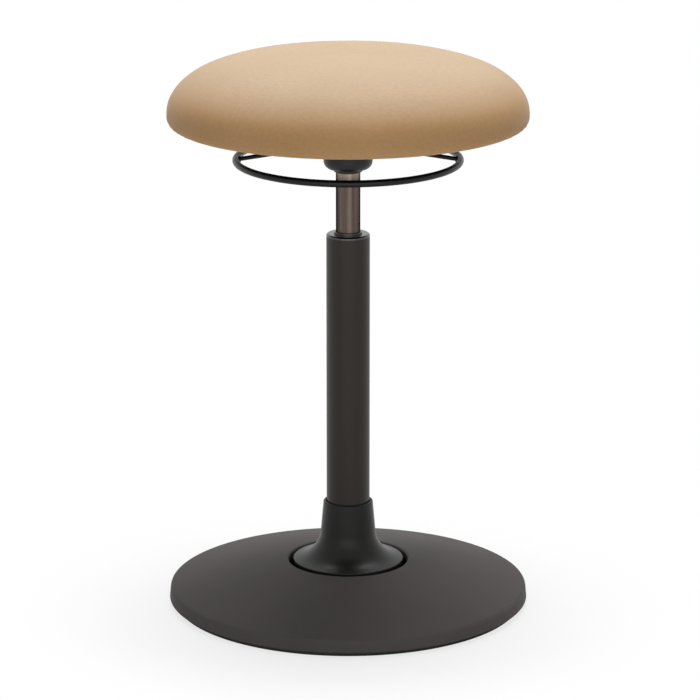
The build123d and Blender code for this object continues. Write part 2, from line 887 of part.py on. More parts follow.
# Release arms: bent wires from the press plate down and out to the hoop
arm_height = press_bottom - arm_wire / 2 + arm_weld_flat
knee_height = hoop_height + (hoop_radius - arm_knee) * tan(radians(arm_end_slope))
with BuildPart() as release_arms:
    with BuildLine(Plane.XZ) as arm_route:
        FilletPolyline(
            (arm_start, arm_height),
            (arm_shoulder, arm_height),
            (arm_knee, knee_height),
            (hoop_radius, hoop_height),
            radius=arm_bend_radius,
        )
    with BuildSketch(Plane(origin=arm_route.line @ 0, z_dir=arm_route.line % 0)):
        Circle(arm_wire / 2)
    sweep()
    with BuildSketch(Plane.XY.offset(press_bottom)):
        Circle(press_plate_radius)
    extrude(amount=press_plate_thickness, mode=Mode.SUBTRACT)
    add(release_hoop.part, mode=Mode.SUBTRACT)
    mirror(about=Plane.YZ)

# Press plate: disc that lies on the pin and levers against the seat plate
with BuildPart() as press_plate:
    with BuildSketch(Plane.XY.offset(press_bottom)):
        Circle(press_plate_radius)
    extrude(amount=press_plate_thickness)
    fillet(press_plate.edges().filter_by(GeomType.CIRCLE).group_by(Axis.Z)[-1], press_plate_round)

pieces = {
    "floor_ring": floor_ring,
    "base_weight": base_weight,
    "base_cover": base_cover,
    "cover_bosses": cover_bosses,
    "cover_screws": cover_screws,
    "mount_plate": mount_plate,
    "mount_screws": mount_screws,
    "flex_buffer": flex_buffer,
    "taper_socket": taper_socket,
    "column_tube": column_tube,
    "collar": collar,
    "guide_bush": guide_bush,
    "tube_end_plate": tube_end_plate,
    "lower_race": lower_race,
    "ball_cage": ball_cage,
    "bearing_balls": bearing_balls,
    "upper_race": upper_race,
    "end_bumper": end_bumper,
    "piston_rod": piston_rod,
    "rod_clip": rod_clip,
    "piston": piston,
    "piston_seal": piston_seal,
    "pressure_tube": pressure_tube,
    "rod_guide": rod_guide,
    "rod_seal": rod_seal,
    "valve_body": valve_body,
    "release_pin": release_pin,
    "seat_hub": seat_hub,
    "seat_plate": seat_plate,
    "hub_screws": hub_screws,
    "tee_nuts": tee_nuts,
    "seat_pan": seat_pan,
    "seat_foam": seat_foam,
    "seat_cover": seat_cover,
    "dust_cover": dust_cover,
    "release_hoop": release_hoop,
    "release_arms": release_arms,
    "press_plate": press_plate,
}
os.makedirs("parts", exist_ok=True)
for name, piece in pieces.items():
    piece.part.label = name
    export_step(piece.part, f"parts/{name}.step")
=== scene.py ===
from math import pi, radians

import bpy
import numpy as np
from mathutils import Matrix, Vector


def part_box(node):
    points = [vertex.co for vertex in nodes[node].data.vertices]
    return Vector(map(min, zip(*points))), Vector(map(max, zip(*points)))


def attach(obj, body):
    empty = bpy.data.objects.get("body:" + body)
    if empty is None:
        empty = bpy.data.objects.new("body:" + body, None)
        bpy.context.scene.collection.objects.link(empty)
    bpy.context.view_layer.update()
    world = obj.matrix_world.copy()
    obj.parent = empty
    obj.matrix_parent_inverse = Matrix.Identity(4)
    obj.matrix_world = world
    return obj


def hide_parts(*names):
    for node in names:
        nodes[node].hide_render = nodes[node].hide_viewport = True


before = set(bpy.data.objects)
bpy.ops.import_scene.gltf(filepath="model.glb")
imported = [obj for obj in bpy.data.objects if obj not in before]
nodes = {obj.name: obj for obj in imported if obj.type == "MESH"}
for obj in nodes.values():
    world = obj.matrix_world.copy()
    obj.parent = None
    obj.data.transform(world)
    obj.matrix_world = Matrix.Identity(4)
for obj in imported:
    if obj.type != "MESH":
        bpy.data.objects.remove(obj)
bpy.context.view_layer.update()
bpy.ops.object.select_all(action="DESELECT")


# Floor ring: a flat ring of matt black rubber glued under the weight plate, set in from its rim.
# It keeps the steel off the floor and shows as a dark line below the hem of the cover.
def screen(red, green, blue):
    """Scene colour of a screen colour given from 0 to 255."""
    steps = [step / 255 for step in (red, green, blue)]
    return [((step + 0.055) / 1.055) ** 2.4 if step > 0.04 else step / 12.92 for step in steps] + [1.0]


def start_finish(name, roughness, metal=0.0, gloss=0.5):
    """A new material with an even roughness, metal or not, and a level of reflection."""
    finish = bpy.data.materials.new(name)
    finish.use_nodes = True
    sockets = finish.node_tree.nodes["Principled BSDF"].inputs
    sockets["Roughness"].default_value = roughness
    sockets["Metallic"].default_value = metal
    sockets["Specular IOR Level"].default_value = gloss
    return finish


def object_place(finish):
    """Coordinates in the frame of the stool."""
    return finish.node_tree.nodes.new("ShaderNodeTexCoord").outputs["Object"]


def grain(finish, place, scale, stretch=(1, 1, 1), detail=3.0):
    """Noise of so many grains a metre, drawn out along each axis whose stretch is below 1."""
    tree = finish.node_tree
    mapping = tree.nodes.new("ShaderNodeMapping")
    mapping.inputs["Scale"].default_value = stretch
    noise = tree.nodes.new("ShaderNodeTexNoise")
    noise.inputs["Scale"].default_value = scale
    noise.inputs["Detail"].default_value = detail
    tree.links.new(place, mapping.inputs["Vector"])
    tree.links.new(mapping.outputs["Vector"], noise.inputs["Vector"])
    return noise.outputs["Fac"]


def tones(finish, pattern, *stops):
    """Colour that runs through the given stops, each a place from 0 to 1 and a screen colour."""
    ramp = finish.node_tree.nodes.new("ShaderNodeValToRGB")
    while len(ramp.color_ramp.elements) < len(stops):
        ramp.color_ramp.elements.new(0.5)
    for element, (place, colour) in zip(ramp.color_ramp.elements, stops):
        element.position = place
        element.color = screen(*colour)
    finish.node_tree.links.new(pattern, ramp.inputs["Fac"])
    return ramp.outputs["Color"]


def use_colour(finish, colour):
    """Sends a colour to the shader."""
    finish.node_tree.links.new(colour, finish.node_tree.nodes["Principled BSDF"].inputs["Base Color"])


def use_roughness(finish, pattern, least, most):
    """Lets a pattern move the roughness between two values."""
    spread = finish.node_tree.nodes.new("ShaderNodeMapRange")
    spread.inputs["To Min"].default_value = least
    spread.inputs["To Max"].default_value = most
    finish.node_tree.links.new(pattern, spread.inputs["Value"])
    shader = finish.node_tree.nodes["Principled BSDF"]
    finish.node_tree.links.new(spread.outputs["Result"], shader.inputs["Roughness"])


def use_relief(finish, *layers):
    """Raises the surface by layers, each a pattern and its height in metres."""
    tree = finish.node_tree
    bump = None
    for pattern, height in layers:
        under = bump
        bump = tree.nodes.new("ShaderNodeBump")
        bump.inputs["Distance"].default_value = height
        tree.links.new(pattern, bump.inputs["Height"])
        if under:
            tree.links.new(under.outputs["Normal"], bump.inputs["Normal"])
    tree.links.new(bump.outputs["Normal"], tree.nodes["Principled BSDF"].inputs["Normal"])


def dress(finish, *names):
    """Gives CAD nodes a finish."""
    for name in names:
        for holder in nodes[name].material_slots:
            holder.material = finish


black_rubber = start_finish("black_rubber", 0.8, gloss=0.3)
rubber_place = object_place(black_rubber)
rubber_bloom = grain(black_rubber, rubber_place, 35)
rubber_skin = grain(black_rubber, rubber_place, 1400)
use_colour(black_rubber, tones(black_rubber, rubber_bloom, (0.3, (20, 20, 20)), (0.75, (33, 32, 32))))
use_roughness(black_rubber, rubber_bloom, 0.7, 0.9)
use_relief(black_rubber, (rubber_skin, 0.00006))
dress(black_rubber, "floor_ring", "flex_buffer", "end_bumper", "piston_seal", "rod_seal")

# Column mount and fasteners: flat steel plates, zinc plated, with the cloudy spangle of the plating.
# They are held together by zinc plated countersunk screws driven from underneath.
zinc_steel = start_finish("zinc_steel", 0.4, 1.0)
zinc_place = object_place(zinc_steel)
zinc_cloud = grain(zinc_steel, zinc_place, 60, detail=2.0)
zinc_scratch = grain(zinc_steel, zinc_place, 900, stretch=(1, 0.06, 1))
use_colour(zinc_steel, tones(zinc_steel, zinc_cloud, (0.3, (136, 139, 142)), (0.7, (178, 180, 181))))
use_roughness(zinc_steel, zinc_cloud, 0.3, 0.52)
use_relief(zinc_steel, (zinc_scratch, 0.00003))
dress(zinc_steel, "mount_plate", "taper_socket", "cover_bosses", "cover_screws")
dress(zinc_steel, "mount_screws", "tube_end_plate", "seat_plate", "hub_screws", "tee_nuts")

# Base weight and cover: a thick steel disc under a pressed steel dome with an upright skirt and a rolled
# opening. Both are powder coated in charcoal black, which leaves a fine pebbled skin.
base_coat = start_finish("base_coat", 0.55, gloss=0.04)
coat_place = object_place(base_coat)
coat_cloud = grain(base_coat, coat_place, 7, detail=2.0)
coat_pebble = grain(base_coat, coat_place, 1100, detail=2.0)
use_colour(base_coat, tones(base_coat, coat_cloud, (0.3, (76, 72, 72)), (0.7, (83, 79, 78))))
use_roughness(base_coat, coat_pebble, 0.5, 0.62)
use_relief(base_coat, (coat_pebble, 0.00005))
dress(base_coat, "base_weight", "base_cover")

# Bearing and rod in the foot of the column: ground and polished steel with the fine marks of the grinding.
# The clip snaps into a groove of the rod under the end plate. The pin in the valve is made the same way.
hardened_steel = start_finish("hardened_steel", 0.2, 1.0)
steel_place = object_place(hardened_steel)
steel_cloud = grain(hardened_steel, steel_place, 80)
steel_lines = grain(hardened_steel, steel_place, 160, stretch=(1, 1, 14))
use_colour(hardened_steel, tones(hardened_steel, steel_cloud, (0.3, (150, 151, 153)), (0.7, (186, 187, 188))))
use_roughness(hardened_steel, steel_lines, 0.14, 0.28)
use_relief(hardened_steel, (steel_lines, 0.00001))
dress(hardened_steel, "lower_race", "upper_race", "bearing_balls", "piston_rod", "rod_clip", "release_pin")

# Valve body: brass, turned on a lathe, which leaves fine rings round it.
# It sits in the top of the cylinder and guides the release pin.
turned_brass = start_finish("turned_brass", 0.3, 1.0)
brass_place = object_place(turned_brass)
brass_cloud = grain(turned_brass, brass_place, 90)
brass_lines = grain(turned_brass, brass_place, 120, stretch=(1, 1, 18))
use_colour(turned_brass, tones(turned_brass, brass_cloud, (0.3, (168, 136, 74)), (0.7, (202, 172, 104))))
use_roughness(turned_brass, brass_lines, 0.22, 0.4)
use_relief(turned_brass, (brass_lines, 0.00001))
dress(turned_brass, "valve_body")

# Ball cage, rod guide and piston: injection moulded in pale plastic with a dull, slightly cloudy skin.
# The cage keeps the balls apart, and the other two slide on the rod and in the cylinder.
pale_moulding = start_finish("pale_moulding", 0.55)
pale_place = object_place(pale_moulding)
pale_cloud = grain(pale_moulding, pale_place, 120)
pale_skin = grain(pale_moulding, pale_place, 2200)
use_colour(pale_moulding, tones(pale_moulding, pale_cloud, (0.3, (196, 192, 180)), (0.7, (214, 211, 201))))
use_roughness(pale_moulding, pale_cloud, 0.5, 0.62)
use_relief(pale_moulding, (pale_skin, 0.00002))
dress(pale_moulding, "ball_cage", "rod_guide", "piston")

# Column tube: drawn steel tube in a smooth satin black coat with a warm cast.
# The coat has a faint drawn grain along the tube.
tube_coat = start_finish("tube_coat", 0.42, gloss=0.28)
tube_place = object_place(tube_coat)
tube_cloud = grain(tube_coat, tube_place, 26, stretch=(1, 1, 0.15), detail=2.0)
tube_grain = grain(tube_coat, tube_place, 700, stretch=(1, 1, 0.12))
use_colour(tube_coat, tones(tube_coat, tube_cloud, (0.3, (33, 25, 19)), (0.7, (40, 31, 24))))
use_roughness(tube_coat, tube_grain, 0.36, 0.48)
use_relief(tube_coat, (tube_grain, 0.00002))
dress(tube_coat, "column_tube")

# Collar: injection moulded black plastic with the fine etched skin of the mould.
# It drops over the tube and flares out into the opening of the base.
black_moulding = start_finish("black_moulding", 0.34, gloss=0.18)
moulding_place = object_place(black_moulding)
moulding_cloud = grain(black_moulding, moulding_place, 18, detail=2.0)
moulding_etch = grain(black_moulding, moulding_place, 1600, detail=2.0)
use_colour(black_moulding, tones(black_moulding, moulding_cloud, (0.3, (22, 22, 21)), (0.7, (28, 28, 27))))
use_roughness(black_moulding, moulding_etch, 0.3, 0.42)
use_relief(black_moulding, (moulding_etch, 0.00004))
dress(black_moulding, "collar")

# Guide bush: a glossy black slide moulding pressed into the top of the tube, its lip rolled over the edge.
# The cylinder runs in it, so its face is polished.
glossy_moulding = start_finish("glossy_moulding", 0.12, gloss=0.9)
bush_place = object_place(glossy_moulding)
bush_cloud = grain(glossy_moulding, bush_place, 60, detail=2.0)
bush_rub = grain(glossy_moulding, bush_place, 500, stretch=(1, 1, 4), detail=2.0)
use_colour(glossy_moulding, tones(glossy_moulding, bush_cloud, (0.3, (13, 12, 12)), (0.7, (20, 18, 17))))
use_roughness(glossy_moulding, bush_rub, 0.07, 0.16)
use_relief(glossy_moulding, (bush_rub, 0.00001))
dress(glossy_moulding, "guide_bush")


# Gas spring: a steel cylinder with a burnished gunmetal finish, polished lengthwise so that soft streaks
# run up and down it. Just below the hub it is lighter.
def share_of_z(finish, vector, least, most, way="LINEAR"):
    """0 to 1 as the upright part of a vector runs from one value to another."""
    tree = finish.node_tree
    parts = tree.nodes.new("ShaderNodeSeparateXYZ")
    tree.links.new(vector, parts.inputs["Vector"])
    span = tree.nodes.new("ShaderNodeMapRange")
    span.interpolation_type = way
    span.inputs["From Min"].default_value = least
    span.inputs["From Max"].default_value = most
    tree.links.new(parts.outputs["Z"], span.inputs["Value"])
    return span.outputs["Result"]


def mix_colours(finish, first, second, share=None, way="MIX"):
    """Colour that goes from the first to the second by a share, or the whole of both put together."""
    tree = finish.node_tree
    mix = tree.nodes.new("ShaderNodeMix")
    mix.data_type = "RGBA"
    mix.blend_type = way
    mix.inputs["Factor"].default_value = 1.0
    if share is not None:
        tree.links.new(share, mix.inputs["Factor"])
    tree.links.new(first, mix.inputs["A"])
    tree.links.new(second, mix.inputs["B"])
    return mix.outputs["Result"]


gunmetal = start_finish("gunmetal", 0.36, 1.0)
gun_place = object_place(gunmetal)
gun_streak = grain(gunmetal, gun_place, 210, stretch=(1, 1, 0.03))
gun_fine = grain(gunmetal, gun_place, 1500, stretch=(1, 1, 0.02))
gun_tones = tones(gunmetal, gun_streak, (0.28, (74, 63, 56)), (0.5, (94, 83, 76)), (0.72, (113, 102, 96)))
top_band_tones = tones(gunmetal, gun_streak, (0.3, (120, 108, 98)), (0.7, (146, 134, 123)))
hub_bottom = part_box("seat_hub")[0].z
top_band_share = share_of_z(gunmetal, gun_place, hub_bottom - 0.009, hub_bottom - 0.002)
use_colour(gunmetal, mix_colours(gunmetal, gun_tones, top_band_tones, top_band_share))
use_roughness(gunmetal, gun_streak, 0.3, 0.44)
use_relief(gunmetal, (gun_fine, 0.00002))
gunmetal.node_tree.nodes["Principled BSDF"].inputs["Specular Tint"].default_value = screen(12, 6, 3)
dress(gunmetal, "pressure_tube")

# Seat hub: cast bowl with a tapered bore and a ribbed screw flange, painted black.
# The paint fills the sand grain of the casting only in part.
black_casting = start_finish("black_casting", 0.45, gloss=0.35)
casting_place = object_place(black_casting)
casting_cloud = grain(black_casting, casting_place, 45)
casting_sand = grain(black_casting, casting_place, 650)
use_colour(black_casting, tones(black_casting, casting_cloud, (0.3, (15, 14, 14)), (0.7, (23, 22, 21))))
use_roughness(black_casting, casting_cloud, 0.36, 0.52)
use_relief(black_casting, (casting_sand, 0.00012))
dress(black_casting, "seat_hub")

# Seat pan: moulded plywood, its thin layers showing along the edge. The foam is glued to it and the
# fabric is pulled over its rim.
plywood = start_finish("plywood", 0.65)
wood_place = object_place(plywood)
wood_layers = grain(plywood, wood_place, 30, stretch=(0.2, 0.2, 24), detail=1.0)
wood_fibre = grain(plywood, wood_place, 320, stretch=(0.05, 1, 1))
use_colour(plywood, tones(plywood, wood_layers, (0.4, (150, 112, 72)), (0.6, (203, 168, 122))))
use_roughness(plywood, wood_fibre, 0.55, 0.75)
use_relief(plywood, (wood_fibre, 0.00008))
dress(plywood, "seat_pan")

# Seat cushion: a domed foam pad under tan microfibre. The fabric is one piece with no seam, pulled
# down over the pad, turned under the plywood pan and gathered there in small pleats.
seat_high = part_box("seat_cover")[1]
pan_low, pan_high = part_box("seat_pan")
fabric = 0.0018  # thickness of the cloth
swell = 0.002  # how far the filling may push the cloth
draw = 0.0023  # how much wider the cloth starts than the filled pad
settle = 0.0015  # how far the crown lies below the CAD pad
clearance = 0.0003  # gap between the cloth and the pieces that it passes
turned_lap = 0.012  # width of the flat band under the pan
widest_rise = 0.0158  # height of the widest place above the foot of the pan
rim_rise = 0.0036  # height at which the cloth leaves the pan
rim_lead = (0.0028, 0.0004)  # which way the outline leaves the pan
edge_lead = 0.013  # how far the outline stays upright below its widest place
side_lead = 0.0505  # how far it stays upright above that
crown_lead = 0.131  # how far from the middle the crown starts to fall
turned_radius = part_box("dust_cover")[1].x + clearance
flat_radius = turned_radius + turned_lap
widest_height = pan_low.z + widest_rise
rim = (pan_high.x + clearance, pan_low.z + rim_rise)


def curve(start, lead, follow, end, count):
    """Points along a smooth curve after its start."""
    steps = np.linspace(0, 1, count + 1)[1:, None]
    spans = [np.array(point) for point in (start, lead, follow, end)]
    weights = ((1 - steps) ** 3, 3 * steps * (1 - steps) ** 2, 3 * steps**2 * (1 - steps), steps**3)
    return sum(weight * span for weight, span in zip(weights, spans))


def pad_outline(drop, spread):
    """Half outline of the settled pad from its turned-under edge to the crown, lower and wider by so much."""
    side = seat_high.x + spread
    top = seat_high.z - settle - drop
    widest = (side, widest_height)
    under = [(turned_radius, pan_low.z - fabric), (flat_radius, pan_low.z - fabric), rim]
    rim_way = (rim[0] + rim_lead[0], rim[1] + rim_lead[1])
    edge = curve(rim, rim_way, (side, widest_height - edge_lead), widest, 8)
    side_way = (side, widest_height + side_lead - drop)
    dome = curve(widest, side_way, (crown_lead - drop / 2, top), (0, top), 30)
    return np.vstack((under, edge, dome[:-1]))


def extrude_rings(outline):
    """Extrudes the selected ring along the rest of an outline of radii and heights."""
    for (radius, height), (next_radius, next_height) in zip(outline, outline[1:]):
        bpy.ops.mesh.extrude_region_move(TRANSFORM_OT_translate={"value": (0, 0, next_height - height)})
        ratio = next_radius / radius
        bpy.ops.transform.resize(value=(ratio, ratio, 1), center_override=(0, 0, next_height))


outline = pad_outline(swell, draw)
bpy.ops.mesh.primitive_circle_add(
    vertices=144, radius=turned_radius, fill_type="NOTHING", location=(0, 0, outline[0][1])
)
cushion = bpy.context.object
cushion.name = "seat_cushion"
bpy.ops.object.transform_apply(location=True)
bpy.ops.object.mode_set(mode="EDIT")
bpy.ops.mesh.select_all(action="SELECT")
extrude_rings(outline)
bpy.ops.mesh.edge_face_add()
bpy.ops.mesh.select_all(action="DESELECT")
bpy.ops.mesh.select_mode(type="EDGE")
bpy.ops.mesh.select_non_manifold(extend=False)
bpy.ops.mesh.extrude_region_move(TRANSFORM_OT_translate={"value": (0, 0, fabric)})
bpy.ops.mesh.edge_face_add()
bpy.ops.mesh.select_all(action="SELECT")
bpy.ops.mesh.normals_make_consistent(inside=False)
bpy.ops.object.mode_set(mode="OBJECT")
cushion.data.remesh_voxel_size = 0.0045
bpy.ops.object.voxel_remesh()


def mesh_points(piece):
    """Vertex places of a piece as rows."""
    flat = np.empty(len(piece.data.vertices) * 3)
    piece.data.vertices.foreach_get("co", flat)
    return flat.reshape(-1, 3)


def set_points(piece, points):
    """Moves the vertices of a piece to the given rows."""
    piece.data.vertices.foreach_set("co", points.ravel())
    piece.data.update()


# The cloth is held where it is stapled under the pan, and the filling presses the rest out. The foam
# evens out most of what then differs round the pad.
staple_reach = 0.002  # how far above the pan's rim the cloth is held
bands = 60  # strips from edge to crown that are evened out
uneven_share = 0.2  # what is left of the differences
unfilled = mesh_points(cushion)
stapled = np.flatnonzero(unfilled[:, 2] < rim[1] + staple_reach)
held = cushion.vertex_groups.new(name="stapled_edge")
held.add([int(index) for index in stapled], 1.0, "REPLACE")
stuffing = cushion.modifiers.new("stuffing", "CLOTH")
stuffing.settings.quality = 6
stuffing.settings.use_pressure = True
stuffing.settings.uniform_pressure_force = 4.0
stuffing.settings.vertex_group_mass = "stapled_edge"
stuffing.settings.effector_weights.gravity = 0.0
for moment in range(1, 21):
    bpy.context.scene.frame_set(moment)
bpy.ops.object.modifier_apply(modifier="stuffing")
bpy.context.scene.frame_set(1)
move = mesh_points(cushion) - unfilled
far = np.linalg.norm(move, axis=1)
move *= np.minimum(1.0, swell / np.maximum(far, 1e-9))[:, None]
reach = np.hypot(unfilled[:, 0], unfilled[:, 1])
facing = unfilled[:, :2] / np.maximum(reach, 1e-9)[:, None]
slope = np.arctan2(unfilled[:, 2] - widest_height, reach)
marks = np.linspace(slope.min(), slope.max(), bands + 1)
band = np.clip(np.digitize(slope, marks), 1, bands) - 1
count = np.maximum(np.bincount(band, minlength=bands), 1)
outward = np.bincount(band, (move[:, :2] * facing).sum(axis=1), bands) / count
upward = np.bincount(band, move[:, 2], bands) / count
middles = (marks[1:] + marks[:-1]) / 2
sideways = facing * np.interp(slope, middles, outward)[:, None]
shared = np.column_stack((sideways, np.interp(slope, middles, upward)))
set_points(cushion, unfilled + shared + uneven_share * (move - shared))
even = cushion.modifiers.new("even", "SMOOTH")
even.factor = 0.5
even.iterations = 9
even.vertex_group = "stapled_edge"
even.invert_vertex_group = True
bpy.ops.object.modifier_apply(modifier="even")


# The underside gets its pleats and the dome the slight unevenness of hand-pulled fabric.
def fade_in(distance, span):
    """0 to 1 as a distance grows over a span."""
    return np.clip(distance / span, 0, 1)


pleat_depth = 0.0007
uneven_height = 0.00018
points = mesh_points(cushion)
reach = np.hypot(points[:, 0], points[:, 1])
around = np.arctan2(points[:, 1], points[:, 0])
below = fade_in(widest_height - points[:, 2], 0.008)
past_edge = fade_in(reach - turned_radius + 0.002, 0.006)
inside_rim = fade_in(rim[0] - 0.006 - reach, 0.02)
pleats = np.sin(64 * around + 1.4 * np.sin(5 * around)) + 0.5 * np.sin(41 * around + 2.0)
points[:, 2] -= pleat_depth * below * past_edge * inside_rim * (1.0 + pleats)
uneven = np.sin(5 * around + 22 * reach) + np.sin(3 * around - 31 * reach + 1.0)
points[:, 2] += uneven_height * uneven * (1 - below) * fade_in(0.19 - reach, 0.05)
set_points(cushion, points)

soften = cushion.modifiers.new("soften", "SUBSURF")
soften.levels = 1
soften.render_levels = 1
bpy.ops.object.modifier_apply(modifier="soften")
bpy.ops.object.shade_smooth()

# The fabric's lay: how far each point is from the crown along the cloth, in plan, so that the weave
# keeps its size down the sides.
run = np.vstack(((0, seat_high.z), pad_outline(0.0, 0.0)[::-1]))
run_length = np.concatenate(([0], np.cumsum(np.linalg.norm(np.diff(run, axis=0), axis=1))))
fine = np.linspace(0, run_length[-1], 400)
fine_run = np.column_stack((np.interp(fine, run_length, run[:, 0]), np.interp(fine, run_length, run[:, 1])))
points = mesh_points(cushion)
reach = np.hypot(points[:, 0], points[:, 1])
around = np.arctan2(points[:, 1], points[:, 0])
profile = np.column_stack((reach, points[:, 2]))
nearest = np.array([np.argmin(((fine_run - place) ** 2).sum(axis=1)) for place in profile])
along = fine[nearest]
lay = np.column_stack((along * np.cos(around), along * np.sin(around), np.zeros(len(along))))
cushion.data.attributes.new("fabric_lay", "FLOAT_VECTOR", "POINT").data.foreach_set("vector", lay.ravel())

tan_fabric = start_finish("tan_fabric", 0.85, gloss=0.2)
fabric_tree = tan_fabric.node_tree
lay_node = fabric_tree.nodes.new("ShaderNodeAttribute")
lay_node.attribute_name = "fabric_lay"
fabric_lay = lay_node.outputs["Vector"]
thread_gap = 0.0011


def threads(across):
    """Ridges of threads, counted across one axis of the lay. The node has 20 / (2 pi) ridges a unit."""
    ridges = fabric_tree.nodes.new("ShaderNodeTexWave")
    ridges.bands_direction = across
    ridges.inputs["Scale"].default_value = 2 * pi / (20 * thread_gap)
    ridges.inputs["Distortion"].default_value = 1.2
    ridges.inputs["Detail Scale"].default_value = 0.3
    fabric_tree.links.new(fabric_lay, ridges.inputs["Vector"])
    return ridges.outputs["Fac"]


weave = fabric_tree.nodes.new("ShaderNodeMath")
weave.operation = "MAXIMUM"
fabric_tree.links.new(threads("X"), weave.inputs[0])
fabric_tree.links.new(threads("Y"), weave.inputs[1])
nap = grain(tan_fabric, fabric_lay, 1300, detail=4.0)
slub = grain(tan_fabric, fabric_lay, 260, stretch=(0.7, 1, 1), detail=3.0)
fade = grain(tan_fabric, fabric_lay, 9, detail=2.0)
fabric_tone = tones(tan_fabric, fade, (0.3, (180, 142, 99)), (0.7, (184, 146, 103)))
# Painted light: this paler tone is the painted top light that the cloth gets where it faces up.
painted_top_light_tone = tones(tan_fabric, fade, (0.3, (185, 163, 137)), (0.7, (189, 167, 141)))
fibre_tone = tones(tan_fabric, nap, (0.3, (236, 233, 228)), (0.7, (255, 255, 255)))
slub_tone = tones(tan_fabric, slub, (0.35, (247, 246, 244)), (0.65, (255, 255, 255)))
# Painted light: the cloth is painted paler where it faces up. This is a painted top light and sheen from the
# lamps above, not a change in the cloth.
fabric_facing = fabric_tree.nodes.new("ShaderNodeTexCoord").outputs["Normal"]
painted_top_light_share = share_of_z(tan_fabric, fabric_facing, 0.45, 1.1, "SMOOTHSTEP")
fabric_colour = mix_colours(tan_fabric, fabric_tone, painted_top_light_tone, painted_top_light_share)
for layer in (fibre_tone, slub_tone):
    fabric_colour = mix_colours(tan_fabric, fabric_colour, layer, way="MULTIPLY")
use_colour(tan_fabric, fabric_colour)
use_roughness(tan_fabric, nap, 0.78, 0.95)
use_relief(tan_fabric, (weave.outputs["Value"], 0.00005), (nap, 0.00008))
fabric_sockets = fabric_tree.nodes["Principled BSDF"].inputs
fabric_sockets["Sheen Weight"].default_value = 0.2
fabric_sockets["Sheen Roughness"].default_value = 0.4
fabric_sockets["Sheen Tint"].default_value = screen(255, 250, 243)
cushion.data.materials.clear()
cushion.data.materials.append(tan_fabric)
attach(cushion, "seat")
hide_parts("seat_cover", "seat_foam")

# Dust cover: black felt that closes the underside of the pan around the hub plate. Its folded hem
# laps over the turned-under fabric and is stapled all round.
felt = 0.0008  # thickness of the felt
felt_lap = 0.007  # how far the hem laps over the fabric
felt_slack = 0.0005  # how deep the felt hangs between two staples
staple_count = 32
felt_bottom = pan_low.z - felt / 2
felt_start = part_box("seat_plate")[1].x + felt / 2
felt_end = turned_radius + felt_lap
# Rings of the felt and its hem: the radius of each, and how far it hangs below the pan.
felt_rings = ((0.07, 0.0), (0.08, 0.0003), (0.1, 0.0011), (0.125, 0.0011), (felt_end - 0.015, 0.0006))
felt_hem = ((felt_end - 0.009, 0.0022), (felt_end - 0.004, 0.0028), (felt_end, 0.0028))
felt_outline = [(felt_start, felt_bottom)]
felt_outline += [(radius, felt_bottom - drop) for radius, drop in felt_rings + felt_hem]
bpy.ops.object.select_all(action="DESELECT")
bpy.ops.mesh.primitive_circle_add(
    vertices=192, radius=felt_start, fill_type="NOTHING", location=(0, 0, felt_bottom)
)
dust_cover = bpy.context.object
dust_cover.name = "dust_cover_felt"
bpy.ops.object.transform_apply(location=True)
bpy.ops.object.mode_set(mode="EDIT")
bpy.ops.mesh.select_all(action="SELECT")
extrude_rings(felt_outline)
bpy.ops.mesh.select_all(action="SELECT")
bpy.ops.mesh.normals_make_consistent(inside=False)
bpy.ops.object.mode_set(mode="OBJECT")
points = mesh_points(dust_cover)
reach = np.hypot(points[:, 0], points[:, 1])
around = np.arctan2(points[:, 1], points[:, 0])
loose = fade_in(reach - 0.085, 0.04) * fade_in(felt_end - 0.008 - reach, 0.01)
points[:, 2] -= felt_slack * loose * (1 + np.cos(staple_count * around))
set_points(dust_cover, points)
felt_wall = dust_cover.modifiers.new("felt_wall", "SOLIDIFY")
felt_wall.thickness = felt
felt_wall.offset = 0.0
bpy.ops.object.modifier_apply(modifier="felt_wall")
bpy.ops.object.shade_smooth_by_angle(angle=radians(40))

black_felt = start_finish("black_felt", 0.95)
felt_place = object_place(black_felt)
felt_fibre = grain(black_felt, felt_place, 900, detail=5.0)
felt_cloud = grain(black_felt, felt_place, 55)
use_colour(black_felt, tones(black_felt, felt_fibre, (0.35, (22, 22, 23)), (0.7, (44, 43, 43))))
use_roughness(black_felt, felt_cloud, 0.88, 1.0)
use_relief(black_felt, (felt_fibre, 0.0002))
dust_cover.data.materials.append(black_felt)
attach(dust_cover, "seat")
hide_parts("dust_cover")

# Staples of the dust cover: flat zinc wire with a straight back, bent in the gun and pressed through the
# hem into the pan. Only their backs show.
staple_size = (0.0012, 0.0105, 0.0006)
staple_drop = 0.0033
bpy.ops.object.select_all(action="DESELECT")
bpy.ops.mesh.primitive_cube_add(size=1, location=(felt_end - felt_lap / 2, 0, felt_bottom - staple_drop))
staples = bpy.context.object
staples.name = "dust_cover_staples"
staples.scale = staple_size
bpy.ops.object.transform_apply(location=True, rotation=True, scale=True)
round_back = staples.modifiers.new("round_back", "BEVEL")
round_back.width = 0.0002
round_back.segments = 2
bpy.ops.object.modifier_apply(modifier="round_back")
bpy.ops.object.mode_set(mode="EDIT")
bpy.ops.mesh.select_all(action="SELECT")
bpy.ops.mesh.spin(
    steps=staple_count - 1,
    dupli=True,
    angle=2 * pi * (staple_count - 1) / staple_count,
    center=(0, 0, 0),
    axis=(0, 0, 1),
)
bpy.ops.mesh.select_all(action="SELECT")
bpy.ops.mesh.normals_make_consistent(inside=False)
bpy.ops.object.mode_set(mode="OBJECT")
staples.data.materials.append(zinc_steel)
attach(staples, "seat")

